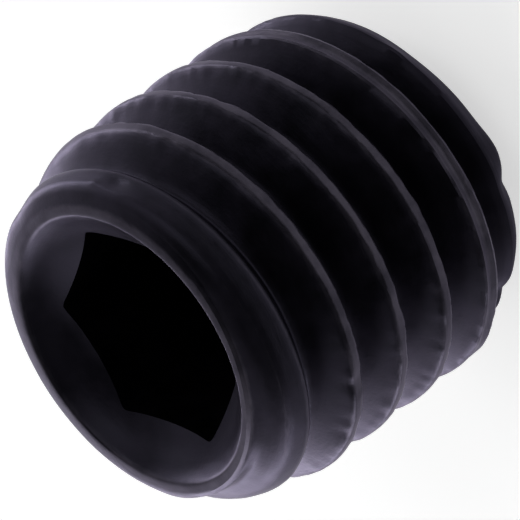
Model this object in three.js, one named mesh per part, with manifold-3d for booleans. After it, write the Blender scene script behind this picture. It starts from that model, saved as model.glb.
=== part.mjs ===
// Socket set screw: a headless threaded stud that is driven in flush with a hexagon key.
// One solid, in millimetres. It stands on its point, with the screw axis on +Z and the socket on top.
import * as THREE from 'three';
import { mergeVertices } from 'three/addons/utils/BufferGeometryUtils.js';
import Module from 'manifold-3d';

const wasm = await Module();
wasm.setup();

// Overall size
const LENGTH = 5.0;
const MAJOR_DIAMETER = 4.92;

// Right-hand metric thread
const PITCH = 0.8;
const THREAD_ANGLE = 60; // between the two flanks
const CREST_FLAT = 0.1;
const ROOT_RADIUS = 0.115;
const THREAD_START = 354; // where round the axis a crest leaves the point's plane, in degrees from +X

// Point, below the thread
const POINT_DIAMETER = 2.8;
const POINT_ANGLE = 120; // across the cone
const LEAD_HEIGHT = 1.01; // above the point, where the lead reaches the thread's major diameter
const LEAD_ANGLE = 32; // from the screw axis
const LEAD_RADIUS = 0.45; // where the lead rounds over into the point's cone

// Socket end: a narrow ridge round the mouth. Outside it the face falls a little to a corner with the
// taper, and inside it the mouth sinks to the hexagon as a round bowl.
const RIDGE_DIAMETER = 3.6;
const RIDGE_WIDTH = 0.1;
const FACE_FALL = 19; // from square to the screw axis
const FACE_DIAMETER = 4.23; // at the corner between the face and the taper
const FACE_EDGE_RADIUS = 0.1;
const FACE_TAPER = 18.5; // from the screw axis
const BOWL_RADIUS = 0.98; // of the arc that the mouth's wall follows
const BOWL_STEEPNESS = 61; // of that wall at the ridge, from square to the axis
const KEY_ACROSS_FLATS = 2.5;
const KEY_DEPTH = 2.4;
const PILOT_DIAMETER = 2.3; // of the drilled hole under the hexagon
const PILOT_ANGLE = 118; // across the drill's tip

// Fineness of the facets
const TURN_STEPS = 48;
const ROOT_STEPS = 3;
const EDGE_STEPS = 3;
const BOWL_STEPS = 5;
const FACET_TURN = 0.7; // of a step: the turned facets' edges stay clear of the thread's columns
const SPARE = 0.5; // how far a cutting solid runs past the body
const SPARE_PITCHES = 2; // of the threaded rod past each end

const radians = THREE.MathUtils.degToRad;
const majorRadius = MAJOR_DIAMETER / 2;
const blackSteel = new THREE.MeshStandardMaterial({ color: 0x24222a, roughness: 0.45, metalness: 0.7 });

// A geometry without seams. It is welded before it is turned, while equal corners are still equal.
function welded(geometry) {
  geometry.deleteAttribute('normal');
  geometry.deleteAttribute('uv');
  return mergeVertices(geometry);
}

// A closed, welded geometry as a solid that can be cut
function solidOf(geometry) {
  const vertProperties = new Float32Array(geometry.attributes.position.array);
  const triVerts = new Uint32Array(geometry.index.array);
  return new wasm.Manifold(new wasm.Mesh({ numProp: 3, vertProperties, triVerts }));
}

function geometryOf(solid) {
  const { vertProperties, triVerts } = solid.getMesh();
  const geometry = new THREE.BufferGeometry();
  geometry.setAttribute('position', new THREE.BufferAttribute(new Float32Array(vertProperties), 3));
  geometry.setIndex(new THREE.BufferAttribute(new Uint32Array(triVerts), 1));
  geometry.computeVertexNormals();
  return geometry;
}

// A turned solid, from its outline as (radius, height) points that start and end on the axis
function turned(outline) {
  const geometry = welded(new THREE.LatheGeometry(outline, TURN_STEPS));
  geometry.rotateX(Math.PI / 2);
  geometry.rotateZ(FACET_TURN * 2 * Math.PI / TURN_STEPS);
  return solidOf(geometry);
}

// The arc that rounds the corner of an outline, from its neighbours before and after
function roundedCorner(before, corner, after, radius) {
  const into = corner.clone().sub(before).normalize();
  const out = after.clone().sub(corner).normalize();
  const turn = Math.acos(into.dot(out));
  const side = Math.sign(into.cross(out));
  const start = corner.clone().addScaledVector(into, -radius * Math.tan(turn / 2));
  const inward = new THREE.Vector2(-into.y, into.x).multiplyScalar(side);
  return Array.from({ length: EDGE_STEPS + 1 }, (_, i) => {
    const angle = (turn * i) / EDGE_STEPS;
    return start.clone()
      .addScaledVector(into, radius * Math.sin(angle))
      .addScaledVector(inward, radius * (1 - Math.cos(angle)));
  });
}

// The blank's form: flat point, cone, rounded lead, clear of the thread, taper and end face
function envelope() {
  const pointRadius = POINT_DIAMETER / 2;
  const coneRise = 1 / Math.tan(radians(POINT_ANGLE / 2));
  const leadRise = 1 / Math.tan(radians(LEAD_ANGLE));
  const taperRise = 1 / Math.tan(radians(FACE_TAPER));
  const clearRadius = majorRadius + SPARE;
  const leadCorner = new THREE.Vector2();
  leadCorner.x = (LEAD_HEIGHT - majorRadius * leadRise + pointRadius * coneRise) / (coneRise - leadRise);
  leadCorner.y = (leadCorner.x - pointRadius) * coneRise;
  const ridgeRadius = (RIDGE_DIAMETER + RIDGE_WIDTH) / 2;
  const faceRadius = FACE_DIAMETER / 2;
  const faceHeight = LENGTH - (faceRadius - ridgeRadius) * Math.tan(radians(FACE_FALL));
  const pointRim = new THREE.Vector2(pointRadius, 0);
  const leadTop = new THREE.Vector2(clearRadius, LEAD_HEIGHT + SPARE * leadRise);
  const taperFoot = new THREE.Vector2(clearRadius, faceHeight - (clearRadius - faceRadius) * taperRise);
  const faceCorner = new THREE.Vector2(faceRadius, faceHeight);
  const ridge = new THREE.Vector2(ridgeRadius, LENGTH);
  return turned([
    new THREE.Vector2(0, 0),
    pointRim,
    ...roundedCorner(pointRim, leadCorner, leadTop, LEAD_RADIUS),
    leadTop,
    taperFoot,
    ...roundedCorner(taperFoot, faceCorner, ridge, FACE_EDGE_RADIUS),
    ridge,
    new THREE.Vector2(0, LENGTH),
  ]);
}

// One pitch of the thread, from crest to crest: height above the first crest's middle, and radius
function threadOutline() {
  const flankRise = Math.tan(radians(THREAD_ANGLE / 2));
  const arcEnd = Math.PI / 2 - radians(THREAD_ANGLE / 2);
  const arcHeight = ROOT_RADIUS * Math.sin(arcEnd);
  const flankHeight = PITCH / 2 - CREST_FLAT / 2 - arcHeight;
  const arcTopRadius = majorRadius - flankHeight / flankRise;
  const points = [{ height: CREST_FLAT / 2, radius: majorRadius }];
  for (let i = 0; i <= ROOT_STEPS; i += 1) {
    const angle = arcEnd * ((2 * i) / ROOT_STEPS - 1);
    points.push({
      height: PITCH / 2 + ROOT_RADIUS * Math.sin(angle),
      radius: arcTopRadius - ROOT_RADIUS * (Math.cos(angle) - Math.cos(arcEnd)),
    });
  }
  points.push({ height: PITCH - CREST_FLAT / 2, radius: majorRadius });
  return points;
}

// A threaded rod that runs past both ends. Its columns stand round the axis, each one a little
// higher than the last, so that the last column meets the first one pitch up.
function threadedRod() {
  const outline = threadOutline();
  const firstPitch = -SPARE_PITCHES;
  const lastPitch = Math.ceil(LENGTH / PITCH) + SPARE_PITCHES;
  const rows = (lastPitch - firstPitch) * outline.length + 1;
  const positions = [];
  const faces = [];
  for (let column = 0; column < TURN_STEPS; column += 1) {
    const angle = (2 * Math.PI * column) / TURN_STEPS;
    const lift = PITCH * (column / TURN_STEPS - THREAD_START / 360);
    for (let row = 0; row < rows; row += 1) {
      const { height, radius } = outline[row % outline.length];
      const pitches = firstPitch + Math.floor(row / outline.length);
      positions.push(radius * Math.cos(angle), radius * Math.sin(angle), lift + pitches * PITCH + height);
    }
  }
  const vertex = (column, row) => (column % TURN_STEPS) * rows + row
    + (column === TURN_STEPS ? outline.length : 0);
  const lastRow = rows - 1 - outline.length;
  const foot = TURN_STEPS * rows;
  const top = foot + 1;
  positions.push(0, 0, firstPitch * PITCH);
  positions.push(0, 0, (lastPitch - 1) * PITCH);
  for (let column = 0; column < TURN_STEPS; column += 1) {
    for (let row = 0; row < lastRow; row += 1) {
      const a = vertex(column, row);
      const b = vertex(column + 1, row);
      faces.push(a, b, vertex(column + 1, row + 1), a, vertex(column + 1, row + 1), vertex(column, row + 1));
    }
    faces.push(foot, vertex(column + 1, 0), vertex(column, 0));
    faces.push(top, vertex(column, lastRow), vertex(column + 1, lastRow));
  }
  for (let row = 0; row < outline.length; row += 1) {
    faces.push(foot, vertex(0, row), vertex(0, row + 1));
    faces.push(top, vertex(0, lastRow + row + 1), vertex(0, lastRow + row));
  }
  const geometry = new THREE.BufferGeometry();
  geometry.setAttribute('position', new THREE.Float32BufferAttribute(positions, 3));
  geometry.setIndex(faces);
  return solidOf(geometry);
}

// The key's hexagon, with two corners on the X axis
function keyHole() {
  const cornerRadius = KEY_ACROSS_FLATS / 2 / Math.cos(Math.PI / 6);
  const geometry = welded(new THREE.CylinderGeometry(cornerRadius, cornerRadius, KEY_DEPTH + SPARE, 6));
  geometry.rotateX(Math.PI / 2);
  geometry.rotateZ(Math.PI / 2);
  geometry.translate(0, 0, LENGTH - KEY_DEPTH + (KEY_DEPTH + SPARE) / 2);
  return solidOf(geometry);
}

// The drilled hole under the hexagon, and the bowl that opens from it to the ridge
function pilotAndMouth() {
  const pilotRadius = PILOT_DIAMETER / 2;
  const mouthRadius = (RIDGE_DIAMETER - RIDGE_WIDTH) / 2;
  const tipDepth = KEY_DEPTH + pilotRadius / Math.tan(radians(PILOT_ANGLE / 2));
  const steepness = radians(BOWL_STEEPNESS);
  const bowlMiddle = new THREE.Vector2(
    mouthRadius - BOWL_RADIUS * Math.sin(steepness),
    LENGTH + BOWL_RADIUS * Math.cos(steepness),
  );
  const pilotSteepness = Math.asin((pilotRadius - bowlMiddle.x) / BOWL_RADIUS);
  const bowl = Array.from({ length: BOWL_STEPS + 1 }, (_, i) => {
    const angle = pilotSteepness + ((steepness - pilotSteepness) * i) / BOWL_STEPS;
    return new THREE.Vector2(Math.sin(angle), -Math.cos(angle)).multiplyScalar(BOWL_RADIUS).add(bowlMiddle);
  });
  return turned([
    new THREE.Vector2(0, LENGTH - tipDepth),
    new THREE.Vector2(pilotRadius, LENGTH - KEY_DEPTH),
    ...bowl,
    new THREE.Vector2(mouthRadius, LENGTH + SPARE),
    new THREE.Vector2(0, LENGTH + SPARE),
  ]);
}

const body = threadedRod().intersect(envelope()).subtract(keyHole()).subtract(pilotAndMouth());
const screw = new THREE.Mesh(geometryOf(body), blackSteel);
screw.name = 'set_screw';

const part = new THREE.Group();
part.add(screw);
export default part;
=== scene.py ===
# The finish of a hexagon socket set screw, M5 by 5: black oxide over a rolled and hardened steel body.
# It stands on its point, with the screw axis on Z and the socket on top. Metres, degrees where named.
import math

import bpy
from mathutils import Matrix, Vector


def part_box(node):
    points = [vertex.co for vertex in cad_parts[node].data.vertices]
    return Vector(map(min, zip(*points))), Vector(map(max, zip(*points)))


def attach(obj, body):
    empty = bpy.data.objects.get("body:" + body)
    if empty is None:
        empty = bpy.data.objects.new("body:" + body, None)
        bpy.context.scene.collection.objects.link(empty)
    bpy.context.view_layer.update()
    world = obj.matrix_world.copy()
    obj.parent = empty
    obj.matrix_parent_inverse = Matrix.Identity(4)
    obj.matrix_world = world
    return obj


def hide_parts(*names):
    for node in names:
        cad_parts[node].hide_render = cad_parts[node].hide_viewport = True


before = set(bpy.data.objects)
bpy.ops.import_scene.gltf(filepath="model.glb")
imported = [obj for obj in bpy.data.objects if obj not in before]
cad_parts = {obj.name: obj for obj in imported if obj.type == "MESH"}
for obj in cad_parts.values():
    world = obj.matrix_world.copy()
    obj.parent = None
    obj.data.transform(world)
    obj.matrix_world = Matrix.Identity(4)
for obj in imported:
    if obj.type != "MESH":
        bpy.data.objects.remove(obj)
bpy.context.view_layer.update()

MM = 0.001
low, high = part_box("set_screw")

# The socket end: a narrow ridge round the mouth, which falls outward to a rounded rim over the taper
FACE_TILT = math.radians(19)
FACE_RADIUS = 2.115 * MM
FACE_RIM = 0.12 * MM
RIDGE_OUTER = 1.83 * MM
RIM_TOP_RADIUS = FACE_RADIUS - FACE_RIM * (1 - math.sin(FACE_TILT))
RIM_TOP = high.z - low.z - (RIM_TOP_RADIUS - RIDGE_OUTER) * math.tan(FACE_TILT)
SIDE_TOP = RIM_TOP + FACE_RIM * (1 - math.cos(FACE_TILT))

# The body's sizes as the node tree takes them. The first two come from the frame.
SIZES = {
    "Length": high.z - low.z,
    "Major Radius": (high.x - low.x) / 2,
    "Pitch": 0.8 * MM,
    "Thread Start": 354 / 360,  # of a turn from +X, where a crest leaves the point's plane
    "Flank Slope": math.tan(math.radians(60)),  # radius lost for each length along the axis
    "Crest Half Flat": 0.065 * MM,
    "Crest Rounding": 0.07 * MM,
    "Open Crest": 0.045 * MM,  # what half a crest gains where its seam is open
    "Land Rounding": 1.0,  # of what a cut-down crest has lost in radius
    "Root Radius": 1.968 * MM,
    "Root Rounding": 0.148 * MM,
    "Point Radius": 1.4 * MM,
    "Point Slope": math.tan(math.radians(60)),
    "Point Rim": 0.06 * MM,
    "Lead Height": 1.01 * MM,  # above the point, where the lead reaches the major diameter
    "Lead Slope": math.tan(math.radians(32)),
    "Lead Shoulder": 0.28 * MM,
    "Lead Nose": 0.35 * MM,
    "Side Top": SIDE_TOP,
    "Face Radius": FACE_RADIUS,  # of the taper at that height
    "Face Slope": math.tan(math.radians(18.3)),
    "Face Shoulder": 0.1 * MM,
    "Face Rim": FACE_RIM,
    "Face Turn": math.radians(90) - FACE_TILT,  # what the rim's rounding turns through
    "Face Fall": math.tan(FACE_TILT),
    "Ridge Outer": RIDGE_OUTER,
    "Ridge Inner": 1.77 * MM,
    "Ridge Rounding": 0.1 * MM,
    "Bowl Middle": 0.91 * MM,  # radius and height above the ridge of the middle of its arc
    "Bowl Lift": 0.48 * MM,
    "Bowl Arc": 0.985 * MM,
    "Key Half": 1.25 * MM,
    "Key Corner": 1.425 * MM,
    "Key Corner Rounding": 0.04 * MM,
    "Key Depth": 2.4 * MM,
    "Pilot Radius": 1.15 * MM,
    "Pilot Slope": 1 / math.tan(math.radians(59)),
    "Seam Depth": 0.035 * MM,
    "Seam Least Width": 0.015 * MM,
}

# The seam along the first crests, where the steel didn't fill the dies
SEAM_SHARE = 0.45  # of half the crest's width
POINT_SEAM = (1.863 * MM, 1.666 * MM)  # heights between which it opens, on the way down
LEAD_SEAM = (0.9 * MM, 1.15 * MM)  # heights between which it opens, on the way up from the lead

# Small faults of the rolling, as (place round the axis in degrees from +X, height, reach round the
# axis in degrees, reach in height, rise of the surface)
FAULTS = [
    (264, 0.42 * MM, 8, 0.25 * MM, 0.08 * MM),  # the thread's ragged start on the lead
    (252, 0.45 * MM, 4, 0.25 * MM, -0.06 * MM),
    (233, 0.5 * MM, 9, 0.25 * MM, 0.022 * MM),
    (303, 0.45 * MM, 14, 0.25 * MM, -0.04 * MM),
    (211, 0.62 * MM, 5, 0.22 * MM, -0.07 * MM),
    (205, 1.22 * MM, 6, 0.12 * MM, 0.035 * MM),
    (306, 0.86 * MM, 4, 0.08 * MM, 0.04 * MM),
    (335, 4.82 * MM, 1.2, 0.03 * MM, 0.02 * MM),  # a burr on the taper
    (158, 4.72 * MM, 9, 0.25 * MM, 0.035 * MM),  # where the taper is a little full, and a little lean
    (19, 4.82 * MM, 8, 0.15 * MM, -0.03 * MM),
    (257, 3.07 * MM, 4, 0.09 * MM, -0.03 * MM),  # nicks in the crests
    (303, 2.38 * MM, 3, 0.08 * MM, -0.025 * MM),
    (231, 3.72 * MM, 4, 0.1 * MM, -0.03 * MM),
    (150, 2.9 * MM, 5, 0.1 * MM, -0.035 * MM),
    (62, 2.05 * MM, 4, 0.1 * MM, -0.03 * MM),
    (20, 3.55 * MM, 3, 0.08 * MM, -0.03 * MM),
    (327, 4.72 * MM, 4, 0.1 * MM, -0.03 * MM),
]

# Unevenness, with each noise as (how many to a metre, detail)
WAVES = (1 / (0.7 * MM), 3.0)  # gentle ones, all over the rolled surface
WAVE_HEIGHT = 0.012 * MM
TEARS = (1 / (0.2 * MM), 2.0)  # sharper ones, along the edges of the crests
TEAR_WIDTH = 0.14 * MM
TEAR_REACH = 0.16 * MM  # from the crest's middle

# Wear of the finish
WEAR_REACH = 0.085 * MM  # from a crest to where its finish is unworn again
LAND_NARROWING = 0.3  # of what the taper or the lead cuts off a crest: its edges wear that much less wide
LEAST_WEAR_REACH = 0.035 * MM
LAND_WEAR_REACH = 0.45 * MM  # what is cut off a crest whose edges no longer wear
RIDGE_WEAR_REACH = 0.09 * MM

# The surface is a grid: its columns stand round the axis, and its rows run from the middle of the
# point, up the outside, over the end face and down the socket to the middle of the floor.
COLUMNS = 240
ROWS_A_PITCH = 28
PITCHES = 9
ROW_SQUEEZE = 0.5  # how much closer the rows lie at crests and roots than on the flanks
BANDS = {
    "point face": 6,
    "point rim": 5,
    "thread": PITCHES * ROWS_A_PITCH,
    "socket rim": 7,
    "end face": 9,
    "mouth": 18,
    "key wall": 10,
    "key floor": 9,
}
ROWS = sum(BANDS.values()) + 1
WELD = 0.0008 * MM  # closes the seam of the first and last column, and the two poles
SHARP = math.radians(32)  # a bend of the surface that shades as an edge

# Each step makes a named value by one operation on others. The sizes are given, and so are "turn", the
# place round the axis, and under each band's name the way through it. Both of these run from 0 to 1.
STEPS_TO_HEIGHT = [
    ("angle", "MULTIPLY", "turn", math.tau),
    ("rolled", "MULTIPLY", "thread", float(PITCHES)),
    ("squeeze phase", "MULTIPLY", "rolled", 2 * math.tau),
    ("squeeze wave", "SINE", "squeeze phase"),
    ("squeezed", "MULTIPLY_ADD", "squeeze wave", -ROW_SQUEEZE / (2 * math.tau), "rolled"),
    ("turned", "ADD", "squeezed", "turn"),
    ("from start", "SUBTRACT", "turned", "Thread Start"),
    ("from foot", "SUBTRACT", "from start", 1.0),
    ("helix height", "MULTIPLY", "from foot", "Pitch"),
    ("highest", "SUBTRACT", "Side Top", "Face Rim"),
    ("not too low", "MAXIMUM", "helix height", "Point Rim"),
    ("helix kept", "MINIMUM", "not too low", "highest"),
    ("point arc", "MULTIPLY", "point rim", math.pi / 2),
    ("point drop", "COSINE", "point arc"),
    ("socket arc", "MULTIPLY", "socket rim", "Face Turn"),
    ("socket rise", "SINE", "socket arc"),
    ("point fall", "MULTIPLY", "point drop", "Point Rim"),
    ("without point", "SUBTRACT", "helix kept", "point fall"),
    ("side height", "MULTIPLY_ADD", "socket rise", "Face Rim", "without point"),
    ("east", "COSINE", "angle"),
    ("north", "SINE", "angle"),
    ("round east", "MULTIPLY", "east", "Major Radius"),
    ("round north", "MULTIPLY", "north", "Major Radius"),
]

# The thread: how far the place is from the nearest crest's middle, then flank, crest and root
STEPS_TO_THREAD = [
    ("pitches up", "DIVIDE", "side height", "Pitch"),
    ("pitches off", "SUBTRACT", "pitches up", "turn"),
    ("crest phase", "ADD", "pitches off", "Thread Start"),
    ("crest share", "WRAP", "crest phase", 0.5, -0.5),
    ("off crest", "MULTIPLY", "crest share", "Pitch"),
    ("from crest", "ABSOLUTE", "off crest"),
    ("even half", "MULTIPLY_ADD", "point seam", "Open Crest", "Crest Half Flat"),
    ("tear", "SUBTRACT", "tears", 0.5),
    ("tear reach", "DIVIDE", "from crest", TEAR_REACH),
    ("tear left", "SUBTRACT", 1.0, "tear reach"),
    ("tear kept", "MAXIMUM", "tear left", 0.0),
    ("tear here", "MULTIPLY", "tear", "tear kept"),
    ("crest half", "MULTIPLY_ADD", "tear here", TEAR_WIDTH, "even half"),
    ("down flank", "SUBTRACT", "from crest", "crest half"),
    ("flank depth", "MULTIPLY", "down flank", "Flank Slope"),
    ("flank", "SUBTRACT", "Major Radius", "flank depth"),
    ("full thread", "SMOOTH_MAX", "flank", "Root Radius", "Root Rounding"),
]

# The blank that it is rolled on: taper at the socket, lead and cone at the point
STEPS_TO_BLANK = [
    ("below face", "SUBTRACT", "Side Top", "side height"),
    ("taper", "MULTIPLY_ADD", "below face", "Face Slope", "Face Radius"),
    ("above lead", "SUBTRACT", "side height", "Lead Height"),
    ("lead", "MULTIPLY_ADD", "above lead", "Lead Slope", "Major Radius"),
    ("cone", "MULTIPLY_ADD", "side height", "Point Slope", "Point Radius"),
    ("tapered", "SMOOTH_MIN", "Major Radius", "taper", "Face Shoulder"),
    ("led", "SMOOTH_MIN", "tapered", "lead", "Lead Shoulder"),
    ("blank", "SMOOTH_MIN", "led", "cone", "Lead Nose"),
    ("land loss", "SUBTRACT", "Major Radius", "blank"),
    ("rounding", "MULTIPLY_ADD", "land loss", "Land Rounding", "Crest Rounding"),
    ("closed side", "SMOOTH_MIN", "full thread", "blank", "rounding"),
]

# The seam left along a crest that had too little steel to fill the dies, then the rounded rims at the
# face and at the point's flat
STEPS_TO_SIDE = [
    ("land growth", "DIVIDE", "land loss", "Flank Slope"),
    ("land half", "ADD", "land growth", "crest half"),
    ("seam half", "MULTIPLY_ADD", "land half", SEAM_SHARE, "Seam Least Width"),
    ("seam ratio", "DIVIDE", "off crest", "seam half"),
    ("seam square", "MULTIPLY", "seam ratio", "seam ratio"),
    ("seam power", "MULTIPLY", "seam square", -1.0),
    ("seam shape", "EXPONENT", "seam power"),
    ("seam cut", "MULTIPLY", "seam shape", "point seam"),
    ("seam depth", "MULTIPLY", "seam cut", "Seam Depth"),
    ("seamed side", "SUBTRACT", "closed side", "seam depth"),
    ("face nearness", "DIVIDE", "below face", "Face Rim"),
    ("face near", "MINIMUM", "face nearness", 1.0),
    ("face lack", "SUBTRACT", 1.0, "face near"),
    ("face lack square", "MULTIPLY", "face lack", "face lack"),
    ("face arc square", "SUBTRACT", 1.0, "face lack square"),
    ("face arc", "SQRT", "face arc square"),
    ("face round", "SUBTRACT", 1.0, "face arc"),
    ("face cut", "MULTIPLY", "face round", "Face Rim"),
    ("point nearness", "DIVIDE", "side height", "Point Rim"),
    ("point near", "MINIMUM", "point nearness", 1.0),
    ("point lack", "SUBTRACT", 1.0, "point near"),
    ("point lack square", "MULTIPLY", "point lack", "point lack"),
    ("point arc square", "SUBTRACT", 1.0, "point lack square"),
    ("point arc root", "SQRT", "point arc square"),
    ("point round", "SUBTRACT", 1.0, "point arc root"),
    ("point cut", "MULTIPLY", "point round", "Point Rim"),
    ("face rounded", "SUBTRACT", "seamed side", "face cut"),
    ("even side", "SUBTRACT", "face rounded", "point cut"),
    ("side east", "MULTIPLY", "even side", "east"),
    ("side north", "MULTIPLY", "even side", "north"),
]

# Faults and waves of the side. Waves only go inward, and nothing stands past the major diameter.
STEPS_TO_FINISHED_SIDE = [
    ("wave depth", "MULTIPLY", "waves", WAVE_HEIGHT),
    ("faulty side", "ADD", "even side", "faults"),
    ("waved side", "SUBTRACT", "faulty side", "wave depth"),
    ("side", "MINIMUM", "waved side", "Major Radius"),
]

# How near the place is to an edge that the finish has worn off: a crest, either edge of a cut-down
# crest, or the ridge
STEPS_TO_WEAR = [
    ("open reach", "MULTIPLY_ADD", "point seam", "Open Crest", WEAR_REACH),
    ("land narrowing", "MULTIPLY_ADD", "land loss", -LAND_NARROWING, "open reach"),
    ("wear reach", "MAXIMUM", "land narrowing", LEAST_WEAR_REACH),
    ("from edge", "SUBTRACT", "from crest", "land growth"),
    ("crest reach", "DIVIDE", "from edge", "wear reach"),
    ("crest square", "MULTIPLY", "crest reach", "crest reach"),
    ("crest power", "MULTIPLY", "crest square", -1.0),
    ("crest shape", "EXPONENT", "crest power"),
    ("land reach", "DIVIDE", "land loss", LAND_WEAR_REACH),
    ("land left", "SUBTRACT", 1.0, "land reach"),
    ("land kept", "MAXIMUM", "land left", 0.0),
    ("crest wear", "MULTIPLY", "crest shape", "land kept"),
    ("on side", "SUBTRACT", 1.0, "socket rim"),
    ("side wear", "MULTIPLY", "crest wear", "on side"),
    ("off ridge", "SUBTRACT", "radius", "Ridge Outer"),
    ("ridge reach", "DIVIDE", "off ridge", RIDGE_WEAR_REACH),
    ("ridge square", "MULTIPLY", "ridge reach", "ridge reach"),
    ("ridge power", "MULTIPLY", "ridge square", -1.0),
    ("ridge shape", "EXPONENT", "ridge power"),
    ("ridge wear", "MULTIPLY", "ridge shape", "socket rim"),
    ("wear", "ADD", "side wear", "ridge wear"),
]

FLAT_HALF_TURN = math.radians(30)  # from the middle of a flat of the hexagon to its corner

# The hexagon's wall round the axis, and the way over the face, through the mouth and down to the floor
STEPS_TO_SOCKET = [
    ("flat turn", "ADD", "angle", FLAT_HALF_TURN),
    ("from flat", "WRAP", "flat turn", FLAT_HALF_TURN, -FLAT_HALF_TURN),
    ("flat cosine", "COSINE", "from flat"),
    ("sharp wall", "DIVIDE", "Key Half", "flat cosine"),
    ("wall", "SMOOTH_MIN", "sharp wall", "Key Corner", "Key Corner Rounding"),
    ("outer radius", "MULTIPLY", "side", "point face"),
    ("face left", "SUBTRACT", 1.0, "end face"),
    ("face left square", "MULTIPLY", "face left", "face left"),
    ("face way", "SUBTRACT", 1.0, "face left square"),
    ("to mouth", "SUBTRACT", "Ridge Inner", "outer radius"),
    ("face radius", "MULTIPLY_ADD", "to mouth", "face way", "outer radius"),
    ("mouth way", "MULTIPLY", "mouth", "mouth"),
    ("to wall", "SUBTRACT", "wall", "face radius"),
    ("mouth radius", "MULTIPLY_ADD", "to wall", "mouth way", "face radius"),
    ("floor left", "SUBTRACT", 1.0, "key floor"),
    ("radius", "MULTIPLY", "mouth radius", "floor left"),
    ("past ridge", "SUBTRACT", "mouth radius", "Ridge Outer"),
    ("ridge fall", "MULTIPLY", "past ridge", "Face Fall"),
    ("face slope", "SUBTRACT", "Length", "ridge fall"),
    ("ridge height", "SMOOTH_MIN", "face slope", "Length", "Ridge Rounding"),
    ("past bowl", "SUBTRACT", "mouth radius", "Bowl Middle"),
    ("bowl share", "DIVIDE", "past bowl", "Bowl Arc"),
    ("bowl within", "MINIMUM", "bowl share", 1.0),
    ("bowl square", "MULTIPLY", "bowl within", "bowl within"),
    ("bowl rest", "SUBTRACT", 1.0, "bowl square"),
    ("bowl cosine", "SQRT", "bowl rest"),
    ("bowl hang", "MULTIPLY", "bowl cosine", "Bowl Arc"),
    ("bowl top", "ADD", "Length", "Bowl Lift"),
    ("bowl height", "SUBTRACT", "bowl top", "bowl hang"),
    ("face height", "SMOOTH_MIN", "bowl height", "ridge height", "Ridge Rounding"),
    ("side or more", "ADD", "side height", "end face"),
    ("upper height", "MINIMUM", "side or more", "face height"),
    ("floor height", "SUBTRACT", "Length", "Key Depth"),
    ("to floor", "SUBTRACT", "floor height", "upper height"),
    ("wall height", "MULTIPLY_ADD", "to floor", "key wall", "upper height"),
    ("inside pilot", "SUBTRACT", "Pilot Radius", "radius"),
    ("pilot share", "MAXIMUM", "inside pilot", 0.0),
    ("pilot drop", "MULTIPLY", "pilot share", "Pilot Slope"),
    ("pilot depth", "MULTIPLY", "pilot drop", "key wall"),
    ("height", "SUBTRACT", "wall height", "pilot depth"),
    ("x", "MULTIPLY", "radius", "east"),
    ("y", "MULTIPLY", "radius", "north"),
]


def add(tree, kind, *taken, **settings):
    """Adds a node. Each of its inputs in turn takes a socket, a value, or None to stay as it is."""
    node = tree.nodes.new(kind)
    for name, value in settings.items():
        setattr(node, name, value)
    for socket, value in zip(node.inputs, taken):
        if isinstance(value, bpy.types.NodeSocket):
            tree.links.new(value, socket)
        elif value is not None:
            socket.default_value = value
    return node


def work_out(tree, known, steps):
    """Adds one Math node for each step, and keeps what it makes under the step's name."""
    for made, operation, *taken in steps:
        node = add(tree, "ShaderNodeMath", *(known.get(item, item) for item in taken), operation=operation)
        known[made] = node.outputs[0]


def fault_steps(number, place, height, reach, rise_reach, rise):
    """The steps that add one fault to the side's radius: a smooth bump or dent."""
    around, up, both = (f"{word} fault {number}" for word in ("around", "up", "both"))
    return [
        (f"turn {around}", "SUBTRACT", "turn", place / 360),
        (f"wrapped {around}", "WRAP", f"turn {around}", 0.5, -0.5),
        (around, "DIVIDE", f"wrapped {around}", reach / 360),
        (f"{around} square", "MULTIPLY", around, around),
        (f"height {up}", "SUBTRACT", "side height", height),
        (up, "DIVIDE", f"height {up}", rise_reach),
        (both, "MULTIPLY_ADD", up, up, f"{around} square"),
        (f"{both} power", "MULTIPLY", both, -1.0),
        (f"{both} shape", "EXPONENT", f"{both} power"),
        ("faults", "MULTIPLY_ADD", f"{both} shape", rise, "faults"),
    ]


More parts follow.
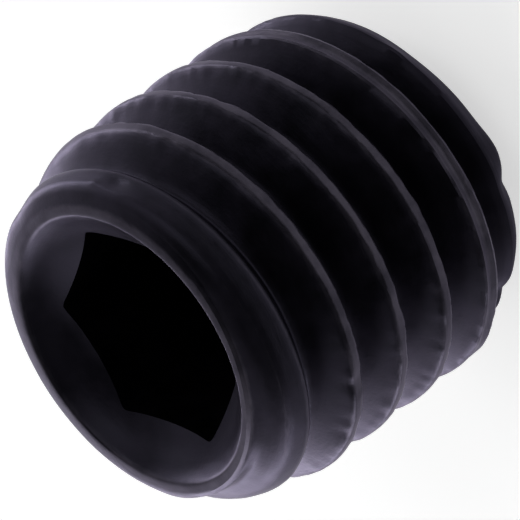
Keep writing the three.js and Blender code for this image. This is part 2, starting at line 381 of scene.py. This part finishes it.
def threaded_body_tree(finish):
    """The node tree that makes the whole body from its sizes."""
    tree = bpy.data.node_groups.new("threaded_body", "GeometryNodeTree")
    tree.interface.new_socket(name="Geometry", in_out="OUTPUT", socket_type="NodeSocketGeometry")
    for name in SIZES:
        tree.interface.new_socket(name=name, in_out="INPUT", socket_type="NodeSocketFloat")
    given = add(tree, "NodeGroupInput")
    known = {name: given.outputs[name] for name in SIZES}

    index = add(tree, "GeometryNodeInputIndex").outputs[0]
    column = add(tree, "ShaderNodeMath", index, float(ROWS), operation="DIVIDE")
    column = add(tree, "ShaderNodeMath", column.outputs[0], operation="FLOOR")
    turn = add(tree, "ShaderNodeMath", column.outputs[0], float(COLUMNS), operation="DIVIDE")
    known["turn"] = turn.outputs[0]
    row = add(tree, "ShaderNodeMath", index, float(ROWS), operation="MODULO").outputs[0]
    first = 0
    for band, rows in BANDS.items():
        known[band] = add(tree, "ShaderNodeMapRange", row, float(first), float(first + rows)).outputs[0]
        first += rows

    work_out(tree, known, STEPS_TO_HEIGHT)
    opening = add(tree, "ShaderNodeMapRange", known["side height"], *POINT_SEAM)
    lead = add(tree, "ShaderNodeMapRange", known["side height"], *LEAD_SEAM)
    seam = add(tree, "ShaderNodeMath", opening.outputs[0], lead.outputs[0], operation="MULTIPLY")
    known["point seam"] = seam.outputs[0]
    drum = add(tree, "ShaderNodeCombineXYZ", known["round east"], known["round north"], known["side height"])
    known["tears"] = add(tree, "ShaderNodeTexNoise", drum.outputs[0], None, *TEARS).outputs[0]
    work_out(tree, known, STEPS_TO_THREAD + STEPS_TO_BLANK + STEPS_TO_SIDE)
    even = add(tree, "ShaderNodeCombineXYZ", known["side east"], known["side north"], known["side height"])
    known["waves"] = add(tree, "ShaderNodeTexNoise", even.outputs[0], None, *WAVES).outputs[0]
    known["faults"] = 0.0
    for number, fault in enumerate(FAULTS):
        work_out(tree, known, fault_steps(number, *fault))
    work_out(tree, known, STEPS_TO_FINISHED_SIDE + STEPS_TO_SOCKET + STEPS_TO_WEAR)

    grid = add(tree, "GeometryNodeMeshGrid", 1.0, 1.0, COLUMNS + 1, ROWS)
    place = add(tree, "ShaderNodeCombineXYZ", known["x"], known["y"], known["height"])
    body = add(tree, "GeometryNodeSetPosition", grid.outputs[0], None, place.outputs[0])
    body = add(tree, "GeometryNodeStoreNamedAttribute", body.outputs[0], None, "wear", known["wear"])
    body = add(tree, "GeometryNodeMergeByDistance", body.outputs[0], None, WELD)
    body = add(tree, "GeometryNodeSetShadeSmooth", body.outputs[0], None, True, domain="FACE")
    bend = add(tree, "GeometryNodeInputMeshEdgeAngle")
    corner = add(tree, "FunctionNodeCompare", bend.outputs[0], SHARP, operation="GREATER_THAN")
    body = add(tree, "GeometryNodeSetShadeSmooth", body.outputs[0], corner.outputs[0], False, domain="EDGE")
    body = add(tree, "GeometryNodeRealizeInstances", body.outputs[0])
    body = add(tree, "GeometryNodeSetMaterial", body.outputs[0], None, finish)
    add(tree, "NodeGroupOutput", body.outputs[0])
    return tree


def threaded_body(finish):
    """The screw's body as a plain mesh."""
    tree = threaded_body_tree(finish)
    piece = bpy.data.objects.new("threaded_body", bpy.data.meshes.new("threaded_body"))
    bpy.context.scene.collection.objects.link(piece)
    modifier = piece.modifiers.new("body", "NODES")
    modifier.node_group = tree
    for socket in tree.interface.items_tree:
        if socket.in_out == "INPUT":
            modifier[socket.identifier] = SIZES[socket.name]
    bpy.context.view_layer.update()
    evaluated = piece.evaluated_get(bpy.context.evaluated_depsgraph_get())
    mesh = bpy.data.meshes.new_from_object(evaluated)
    piece.modifiers.remove(modifier)
    piece.data = mesh
    return piece


def linear(code):
    """An sRGB hex colour as the linear values that a shader takes."""
    parts = [int(code[i:i + 2], 16) / 255 for i in (0, 2, 4)]
    return [p / 12.92 if p <= 0.04045 else ((p + 0.055) / 1.055) ** 2.4 for p in parts] + [1.0]


UNUSED = [None] * 5  # the inputs of a Mix node between its factor and its colours

# The finish
OXIDE_DEEP = "201f26"
OXIDE_THIN = "27252e"
WORN_STEEL = "3f3c45"
GLANCE_TINT = "f4efff"  # of what it reflects at a flat angle
ROLLED_ROUGHNESS = (0.36, 0.48)
TURNED_ROUGHNESS = 0.75
TURNED_LEAD = (0.95 * MM, 0.55 * MM)  # heights between which the rolled finish gives way to the turned one

# Its patterns, each as (how many to a metre, detail, roughness) of a noise
PATCHES = (1 / (0.45 * MM), 4.0, 0.6)  # where the bath took more or less
MARKS = (1 / (0.8 * MM), 6.0, 0.65)  # of the dies
RAGGED_WEAR = (1 / (0.16 * MM), 4.0, 0.6)
GRAIN = (1 / (0.05 * MM), 3.0, 0.6)  # of the oxide, a micron fine, drawn as coarse as it needs to show
DRAWN_OUT = (1.0, 1.0, 8.0)  # marks and ragged wear are this much finer along the axis than round it
PATCH_TONE = (0.35, 0.65)  # patch values between which the tone goes from deep to thin
PATCH_SHINE = (0.3, 0.7)  # and those between which the roughness changes
PATCH_HOLD = (0.38, 0.6)  # and those between which the edges go from least worn to fully worn
LEAST_WORN = 0.35
RAGGEDNESS = 0.7  # of the worn edges, as a share of full wear
WORN_FROM, WORN_TO = 0.3, 0.8  # shares of full wear at which steel begins to show and shows in full
MARKS_OVER_GRAIN = 3.0
RELIEF = 0.004 * MM
RELIEF_SHARE = 0.35


def black_oxide_steel():
    """Black oxide: a micron of iron oxide grown on steel in a hot salt bath, then oiled.

    The oxide takes the steel's form with all its marks. It is a deep black with a violet cast, more
    satin than glossy, and it rubs thin on the edges, where the grey of the steel begins to show.
    """
    material = bpy.data.materials.new("black_oxide_steel")
    material.use_nodes = True
    tree = material.node_tree
    shader = tree.nodes["Principled BSDF"]
    place = add(tree, "ShaderNodeTexCoord").outputs["Object"]
    wear = add(tree, "ShaderNodeAttribute", attribute_name="wear").outputs["Fac"]

    patches = add(tree, "ShaderNodeTexNoise", place, None, *PATCHES).outputs[0]
    drawn = add(tree, "ShaderNodeMapping", place, None, None, DRAWN_OUT).outputs[0]
    marks = add(tree, "ShaderNodeTexNoise", drawn, None, *MARKS).outputs[0]
    ragged = add(tree, "ShaderNodeTexNoise", drawn, None, *RAGGED_WEAR).outputs[0]
    grain = add(tree, "ShaderNodeTexNoise", place, None, *GRAIN).outputs[0]

    # Colour: oxide in two tones, and steel that shows along the worn edges
    deep, thin, steel = map(linear, (OXIDE_DEEP, OXIDE_THIN, WORN_STEEL))
    tone = add(tree, "ShaderNodeMapRange", patches, *PATCH_TONE).outputs[0]
    oxide = add(tree, "ShaderNodeMix", tone, *UNUSED, deep, thin, data_type="RGBA").outputs[2]
    ragged = add(tree, "ShaderNodeMath", ragged, RAGGEDNESS, wear, operation="MULTIPLY_ADD").outputs[0]
    half = RAGGEDNESS / 2
    edge = add(tree, "ShaderNodeMapRange", ragged, WORN_FROM + half, WORN_TO + half).outputs[0]
    broken = add(tree, "ShaderNodeMapRange", patches, *PATCH_HOLD, LEAST_WORN, 1.0).outputs[0]
    worn = add(tree, "ShaderNodeMath", edge, broken, operation="MULTIPLY").outputs[0]
    colour = add(tree, "ShaderNodeMix", worn, *UNUSED, oxide, steel, data_type="RGBA").outputs[2]

    # Roughness: satin where it was rolled, dull where the lead was turned
    rolled = add(tree, "ShaderNodeMapRange", patches, *PATCH_SHINE, *ROLLED_ROUGHNESS).outputs[0]
    up = add(tree, "ShaderNodeSeparateXYZ", place).outputs[2]
    turned = add(tree, "ShaderNodeMapRange", up, *TURNED_LEAD).outputs[0]
    rough = add(tree, "ShaderNodeMix", turned, None, rolled, TURNED_ROUGHNESS).outputs[0]

    # Relief: the marks of the dies and the grain of the oxide
    height = add(tree, "ShaderNodeMath", marks, MARKS_OVER_GRAIN, grain, operation="MULTIPLY_ADD").outputs[0]
    bump = add(tree, "ShaderNodeBump", RELIEF_SHARE, RELIEF, None, height).outputs[0]

    tree.links.new(colour, shader.inputs["Base Color"])
    tree.links.new(rough, shader.inputs["Roughness"])
    tree.links.new(bump, shader.inputs["Normal"])
    shader.inputs["Metallic"].default_value = 1.0
    shader.inputs["Specular Tint"].default_value = linear(GLANCE_TINT)
    return material


# The studio: a sheet of pale paper, in metres, and a dim white room
WHITE = (1.0, 1.0, 1.0, 1.0)
PAPER = "dcdcdc"
PAPER_GLOW = 0.58
FLOOR_WIDTH = 1.0
WORLD_LEVEL = 0.045


def floor_finish():
    """White studio paper, matt. Its glow is for the eye and for reflections, and the shadow stays."""
    material = bpy.data.materials.new("studio_paper")
    material.use_nodes = True
    tree = material.node_tree
    tree.nodes.clear()
    path = add(tree, "ShaderNodeLightPath")
    to_camera = path.outputs["Is Camera Ray"]
    to_gloss = path.outputs["Is Glossy Ray"]
    to_glass = path.outputs["Is Transmission Ray"]
    seen = add(tree, "ShaderNodeMath", to_camera, to_gloss, operation="ADD")
    seen = add(tree, "ShaderNodeMath", seen.outputs[0], to_glass, operation="ADD")
    strength = add(tree, "ShaderNodeMath", seen.outputs[0], PAPER_GLOW, operation="MULTIPLY")
    paper = add(tree, "ShaderNodeBsdfDiffuse", linear(PAPER))
    glow = add(tree, "ShaderNodeEmission", WHITE, strength.outputs[0])
    both = add(tree, "ShaderNodeAddShader", paper.outputs[0], glow.outputs[0])
    add(tree, "ShaderNodeOutputMaterial", both.outputs[0])
    return material


def studio_floor():
    half = FLOOR_WIDTH / 2
    corners = [(-half, -half, 0), (half, -half, 0), (half, half, 0), (-half, half, 0)]
    mesh = bpy.data.meshes.new("floor")
    mesh.from_pydata(corners, [], [(0, 1, 2, 3)])
    mesh.materials.append(floor_finish())
    floor = bpy.data.objects.new("floor", mesh)
    bpy.context.scene.collection.objects.link(floor)


# Camera: a long lens from above the socket, rolled so that the point runs up and to the right
CAMERA_AZIMUTH = 8.1  # degrees; 0 looks along +Y
CAMERA_ELEVATION = 35.25
CAMERA_ROLL = 125.0  # of the camera's top, from upright towards its right
CAMERA_DISTANCE = 47.75 * MM
CAMERA_AIM = (-0.133 * MM, -0.103 * MM)  # right of and above the body's middle
CAMERA_LENS = 276.9  # on a sensor 36 mm wide


def studio_camera(middle):
    azimuth, elevation, roll = map(math.radians, (CAMERA_AZIMUTH, CAMERA_ELEVATION, CAMERA_ROLL))
    level = Vector((math.cos(azimuth), math.sin(azimuth), 0))
    outward = Vector((math.sin(azimuth), -math.cos(azimuth), 0))
    back = outward * math.cos(elevation) + Vector((0, 0, math.sin(elevation)))
    up = back.cross(level) * math.cos(roll) + level * math.sin(roll)
    right = up.cross(back)
    lens = bpy.data.cameras.new("camera")
    lens.lens = CAMERA_LENS
    lens.clip_start = 1 * MM
    camera = bpy.data.objects.new("camera", lens)
    bpy.context.scene.collection.objects.link(camera)
    aim = middle + right * CAMERA_AIM[0] + up * CAMERA_AIM[1]
    camera.matrix_world = Matrix.LocRotScale(
        aim + back * CAMERA_DISTANCE, Matrix((right, up, back)).transposed(), None)
    bpy.context.scene.camera = camera


# Lights, each as (place round the screw in degrees from the camera, elevation, width, height, power)
LIGHT_DISTANCE = 150 * MM
SOFTBOXES = {
    "left low strip": (130, 3.2, 225 * MM, 17 * MM, 0.2),
    "right low strip": (-130, 3.2, 225 * MM, 17 * MM, 0.165),
    "left high strip": (130, 11, 225 * MM, 22 * MM, 0.025),
    "right high strip": (-130, 11, 225 * MM, 22 * MM, 0.045),
    "left side": (110, 30, 80 * MM, 50 * MM, 0.02),
    "left bank": (140, 42, 120 * MM, 90 * MM, 0.025),
    "right bank": (-140, 42, 120 * MM, 90 * MM, 0.057),
    "back bank": (180, 36, 70 * MM, 50 * MM, 0.02),
    "back low strip": (180, 3.2, 68 * MM, 17 * MM, 0.013),
    "left fill": (50, 42, 120 * MM, 90 * MM, 0.04),
    "right fill": (-50, 42, 120 * MM, 90 * MM, 0.008),
}


def softbox(name, azimuth, elevation, width, height, power, middle):
    """A flat soft light that faces the body's middle."""
    azimuth, elevation = math.radians(CAMERA_AZIMUTH + azimuth), math.radians(elevation)
    lamp = bpy.data.lights.new(name, "AREA")
    lamp.shape = "RECTANGLE"
    lamp.size = width
    lamp.size_y = height
    lamp.energy = power
    light = bpy.data.objects.new(name, lamp)
    bpy.context.scene.collection.objects.link(light)
    back = Vector((
        math.sin(azimuth) * math.cos(elevation),
        -math.cos(azimuth) * math.cos(elevation),
        math.sin(elevation),
    ))
    light.location = middle + back * LIGHT_DISTANCE
    light.rotation_euler = back.to_track_quat("Z", "Y").to_euler()


def studio_world():
    world = bpy.data.worlds.new("studio")
    world.use_nodes = True
    background = world.node_tree.nodes["Background"]
    background.inputs["Strength"].default_value = WORLD_LEVEL
    background.inputs["Color"].default_value = WHITE
    bpy.context.scene.world = world


body = threaded_body(black_oxide_steel())
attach(body, "root")
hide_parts("set_screw")

studio_floor()
middle = (low + high) / 2
studio_camera(middle)
studio_world()
for name, settings in SOFTBOXES.items():
    softbox(name, *settings, middle)
bpy.context.scene.view_settings.view_transform = "Standard"
